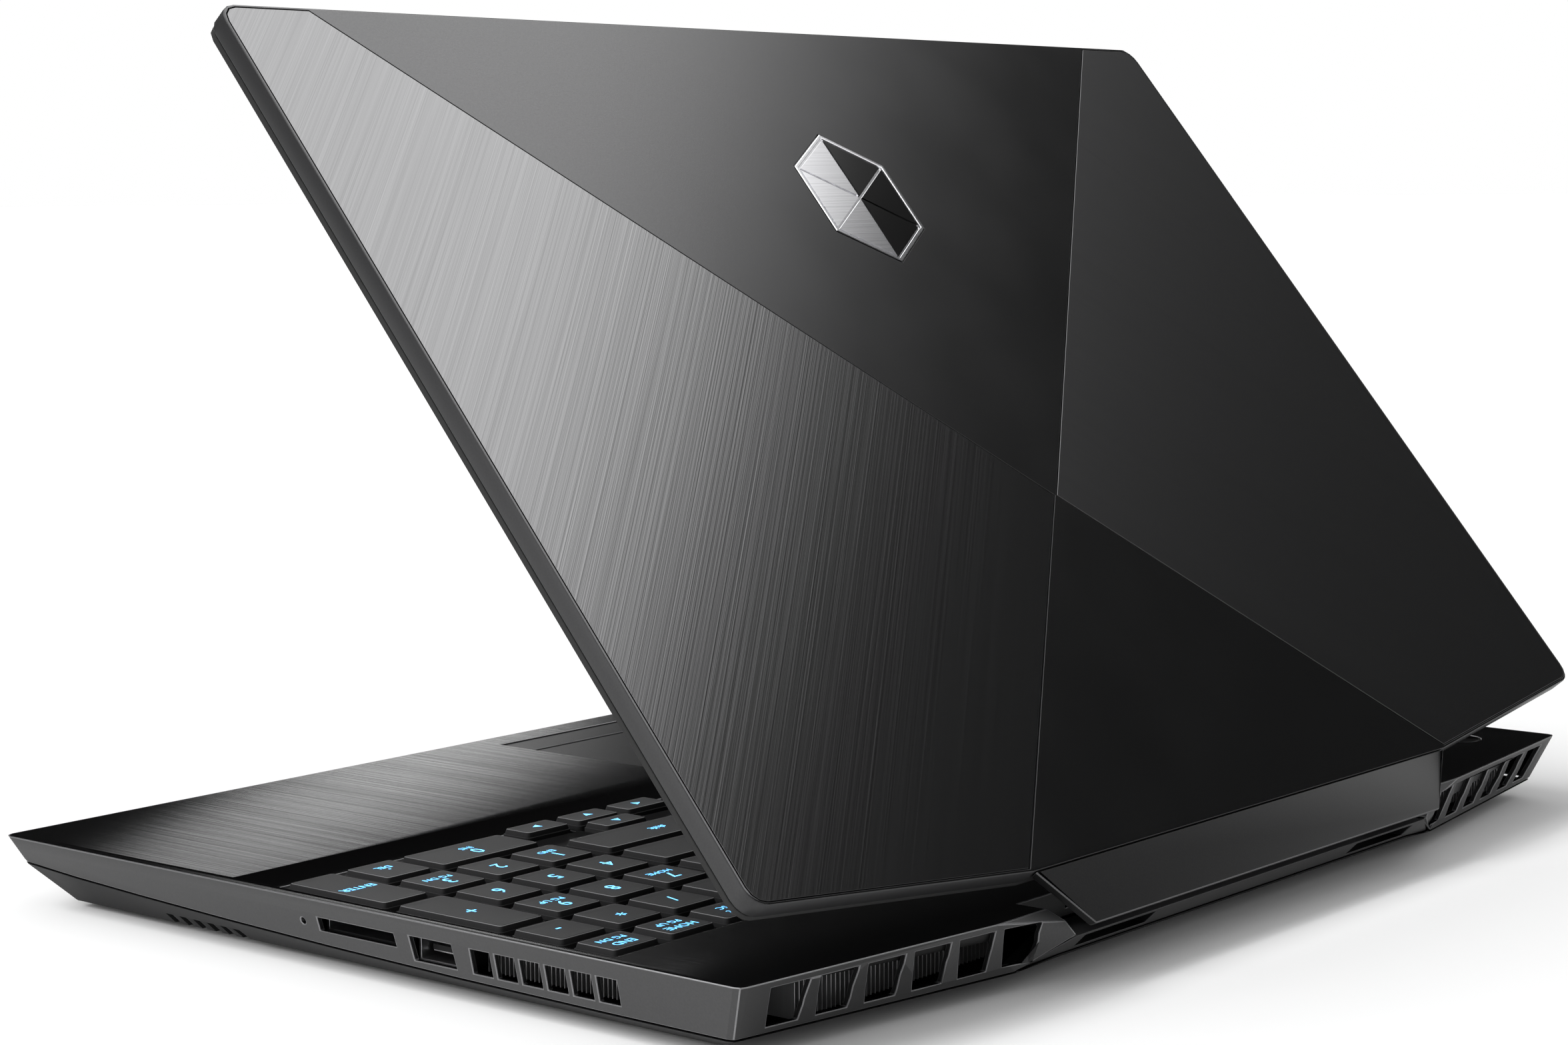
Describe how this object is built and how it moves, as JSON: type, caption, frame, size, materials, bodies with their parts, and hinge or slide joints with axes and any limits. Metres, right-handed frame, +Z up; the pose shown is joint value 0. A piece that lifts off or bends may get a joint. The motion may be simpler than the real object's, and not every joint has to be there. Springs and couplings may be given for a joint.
{
  "type": "laptop computer",
  "caption": "Wedge-sided laptop computer with a friction-hinged lid, keyboard with number pad, touchpad with buttons, side sockets and rear cooling vents.",
  "frame": {"origin": "on the surface that the laptop stands on, under the middle of its outline at rest, which has the lid half open", "axes": "+X to the user's right, +Y to the rear, +Z up; the lid turns about a line along X at the rear"},
  "size_m": [0.36, 0.2544, 0.214],
  "materials": {
    "case_metal": "satin",
    "lid_metal": "satin",
    "lid_brushed": "satin",
    "base_plastic": "matte",
    "key_plastic": "matte",
    "frame_metal": "satin",
    "touch_surface": "matte",
    "foot_rubber": "matte",
    "plain_steel": "satin",
    "fin_aluminium": "satin",
    "pipe_copper": "satin",
    "board": "matte",
    "inner_plastic": "matte",
    "screen_glass": "gloss",
    "badge_metal": "polished"
  },
  "bodies": {
    "base": {"top_case": "case_metal", "bottom_cover": "base_plastic", "rear_vent_block": "base_plastic", "keyboard_frame": "frame_metal", "keyboard_backplate": "plain_steel", "touchpad": "touch_surface", "fan_housing_left": "inner_plastic", "fan_housing_right": "inner_plastic", "heatsink_left": "fin_aluminium", "heatsink_right": "fin_aluminium", "heat_pipes": "pipe_copper", "motherboard": "board", "storage_drive": "board", "battery": "inner_plastic", "speaker_left": "inner_plastic", "speaker_right": "inner_plastic", "usb_port_right": "plain_steel", "card_reader": "plain_steel", "usb_port_left": "plain_steel", "hdmi_port": "plain_steel", "ethernet_port": "inner_plastic", "power_inlet": "inner_plastic", "audio_jack": "inner_plastic", "front_foot": "foot_rubber", "rear_foot": "foot_rubber", "hinge_bracket_left": "plain_steel", "hinge_bracket_right": "plain_steel"},
    "lid": {"lid_cover": "lid_metal", "lid_panel_left": "lid_brushed", "lid_panel_right": "lid_brushed", "lid_badge": "badge_metal", "hinge_strip": "lid_metal", "screen_bezel": "inner_plastic", "screen_seal": "foot_rubber", "display_panel": "screen_glass", "camera_module": "inner_plastic", "hinge_arm_left": "plain_steel", "hinge_arm_right": "plain_steel"},
    "keys_number_row": {"keys_number_row": "key_plastic"},
    "keys_upper_letter_row": {"keys_upper_letter_row": "key_plastic"},
    "keys_home_row": {"keys_home_row": "key_plastic"},
    "keys_lower_letter_row": {"keys_lower_letter_row": "key_plastic"},
    "keys_function_row": {"keys_function_row": "key_plastic"},
    "keys_modifier_row": {"keys_modifier_row": "key_plastic"},
    "keys_numpad_123": {"keys_numpad_123": "key_plastic"},
    "keys_numpad_456": {"keys_numpad_456": "key_plastic"},
    "keys_numpad_789": {"keys_numpad_789": "key_plastic"},
    "keys_numpad_zero_point": {"keys_numpad_zero_point": "key_plastic"},
    "space_bar": {"space_bar": "key_plastic"},
    "key_numpad_enter": {"key_numpad_enter": "key_plastic"},
    "key_numpad_plus": {"key_numpad_plus": "key_plastic"},
    "key_arrow_left": {"key_arrow_left": "key_plastic"},
    "key_arrow_down": {"key_arrow_down": "key_plastic"},
    "key_arrow_up": {"key_arrow_up": "key_plastic"},
    "key_arrow_right": {"key_arrow_right": "key_plastic"},
    "touchpad_button_left": {"touchpad_button_left": "touch_surface"},
    "touchpad_button_right": {"touchpad_button_right": "touch_surface"},
    "power_button": {"power_button": "frame_metal"},
    "fan_rotor_left": {"fan_rotor_left": "inner_plastic"},
    "fan_rotor_right": {"fan_rotor_right": "inner_plastic"}
  },
  "joints": [
    {"name": "lid_hinge", "type": "hinge", "parent": "base", "child": "lid", "pos_m": [0, 0.12097, 0.0206], "axis": [-1, 0, 0], "range_deg": [-49.9, 80]},
    {"name": "keys_number_row_press", "type": "slide", "parent": "base", "child": "keys_number_row", "axis": [0, 0, -1], "range_m": [0, 0.0012], "stiffness_N_per_m": 7200, "springref_m": -0.0006},
    {"name": "keys_upper_letter_row_press", "type": "slide", "parent": "base", "child": "keys_upper_letter_row", "axis": [0, 0, -1], "range_m": [0, 0.0012], "stiffness_N_per_m": 5600, "springref_m": -0.0006},
    {"name": "keys_home_row_press", "type": "slide", "parent": "base", "child": "keys_home_row", "axis": [0, 0, -1], "range_m": [0, 0.0012], "stiffness_N_per_m": 5200, "springref_m": -0.0006},
    {"name": "keys_lower_letter_row_press", "type": "slide", "parent": "base", "child": "keys_lower_letter_row", "axis": [0, 0, -1], "range_m": [0, 0.0012], "stiffness_N_per_m": 4800, "springref_m": -0.0006},
    {"name": "keys_function_row_press", "type": "slide", "parent": "base", "child": "keys_function_row", "axis": [0, 0, -1], "range_m": [0, 0.0012], "stiffness_N_per_m": 8000, "springref_m": -0.0006},
    {"name": "keys_modifier_row_press", "type": "slide", "parent": "base", "child": "keys_modifier_row", "axis": [0, 0, -1], "range_m": [0, 0.0012], "stiffness_N_per_m": 2400, "springref_m": -0.0006},
    {"name": "keys_numpad_123_press", "type": "slide", "parent": "base", "child": "keys_numpad_123", "axis": [0, 0, -1], "range_m": [0, 0.0012], "stiffness_N_per_m": 1200, "springref_m": -0.0006},
    {"name": "keys_numpad_456_press", "type": "slide", "parent": "base", "child": "keys_numpad_456", "axis": [0, 0, -1], "range_m": [0, 0.0012], "stiffness_N_per_m": 1200, "springref_m": -0.0006},
    {"name": "keys_numpad_789_press", "type": "slide", "parent": "base", "child": "keys_numpad_789", "axis": [0, 0, -1], "range_m": [0, 0.0012], "stiffness_N_per_m": 1200, "springref_m": -0.0006},
    {"name": "keys_numpad_zero_point_press", "type": "slide", "parent": "base", "child": "keys_numpad_zero_point", "axis": [0, 0, -1], "range_m": [0, 0.0012], "stiffness_N_per_m": 800, "springref_m": -0.0006},
    {"name": "space_bar_press", "type": "slide", "parent": "base", "child": "space_bar", "axis": [0, 0, -1], "range_m": [0, 0.0012], "stiffness_N_per_m": 400, "springref_m": -0.0006},
    {"name": "key_numpad_enter_press", "type": "slide", "parent": "base", "child": "key_numpad_enter", "axis": [0, 0, -1], "range_m": [0, 0.0012], "stiffness_N_per_m": 400, "springref_m": -0.0006},
    {"name": "key_numpad_plus_press", "type": "slide", "parent": "base", "child": "key_numpad_plus", "axis": [0, 0, -1], "range_m": [0, 0.0012], "stiffness_N_per_m": 400, "springref_m": -0.0006},
    {"name": "key_arrow_left_press", "type": "slide", "parent": "base", "child": "key_arrow_left", "axis": [0, 0, -1], "range_m": [0, 0.0012], "stiffness_N_per_m": 400, "springref_m": -0.0006},
    {"name": "key_arrow_down_press", "type": "slide", "parent": "base", "child": "key_arrow_down", "axis": [0, 0, -1], "range_m": [0, 0.0012], "stiffness_N_per_m": 400, "springref_m": -0.0006},
    {"name": "key_arrow_up_press", "type": "slide", "parent": "base", "child": "key_arrow_up", "axis": [0, 0, -1], "range_m": [0, 0.0012], "stiffness_N_per_m": 400, "springref_m": -0.0006},
    {"name": "key_arrow_right_press", "type": "slide", "parent": "base", "child": "key_arrow_right", "axis": [0, 0, -1], "range_m": [0, 0.0012], "stiffness_N_per_m": 400, "springref_m": -0.0006},
    {"name": "touchpad_button_left_press", "type": "slide", "parent": "base", "child": "touchpad_button_left", "axis": [0, 0, -1], "range_m": [0, 0.0005], "stiffness_N_per_m": 900, "springref_m": -0.0004},
    {"name": "touchpad_button_right_press", "type": "slide", "parent": "base", "child": "touchpad_button_right", "axis": [0, 0, -1], "range_m": [0, 0.0005], "stiffness_N_per_m": 900, "springref_m": -0.0004},
    {"name": "power_button_press", "type": "slide", "parent": "base", "child": "power_button", "axis": [0, 0, -1], "range_m": [0, 0.0005], "stiffness_N_per_m": 900, "springref_m": -0.0004},
    {"name": "fan_left_spin", "type": "hinge", "parent": "base", "child": "fan_rotor_left", "pos_m": [-0.122, 0.06277, 0.0078], "axis": [0, 0, 1], "continuous": true},
    {"name": "fan_right_spin", "type": "hinge", "parent": "base", "child": "fan_rotor_right", "pos_m": [0.122, 0.06277, 0.0078], "axis": [0, 0, 1], "continuous": true}
  ]
}
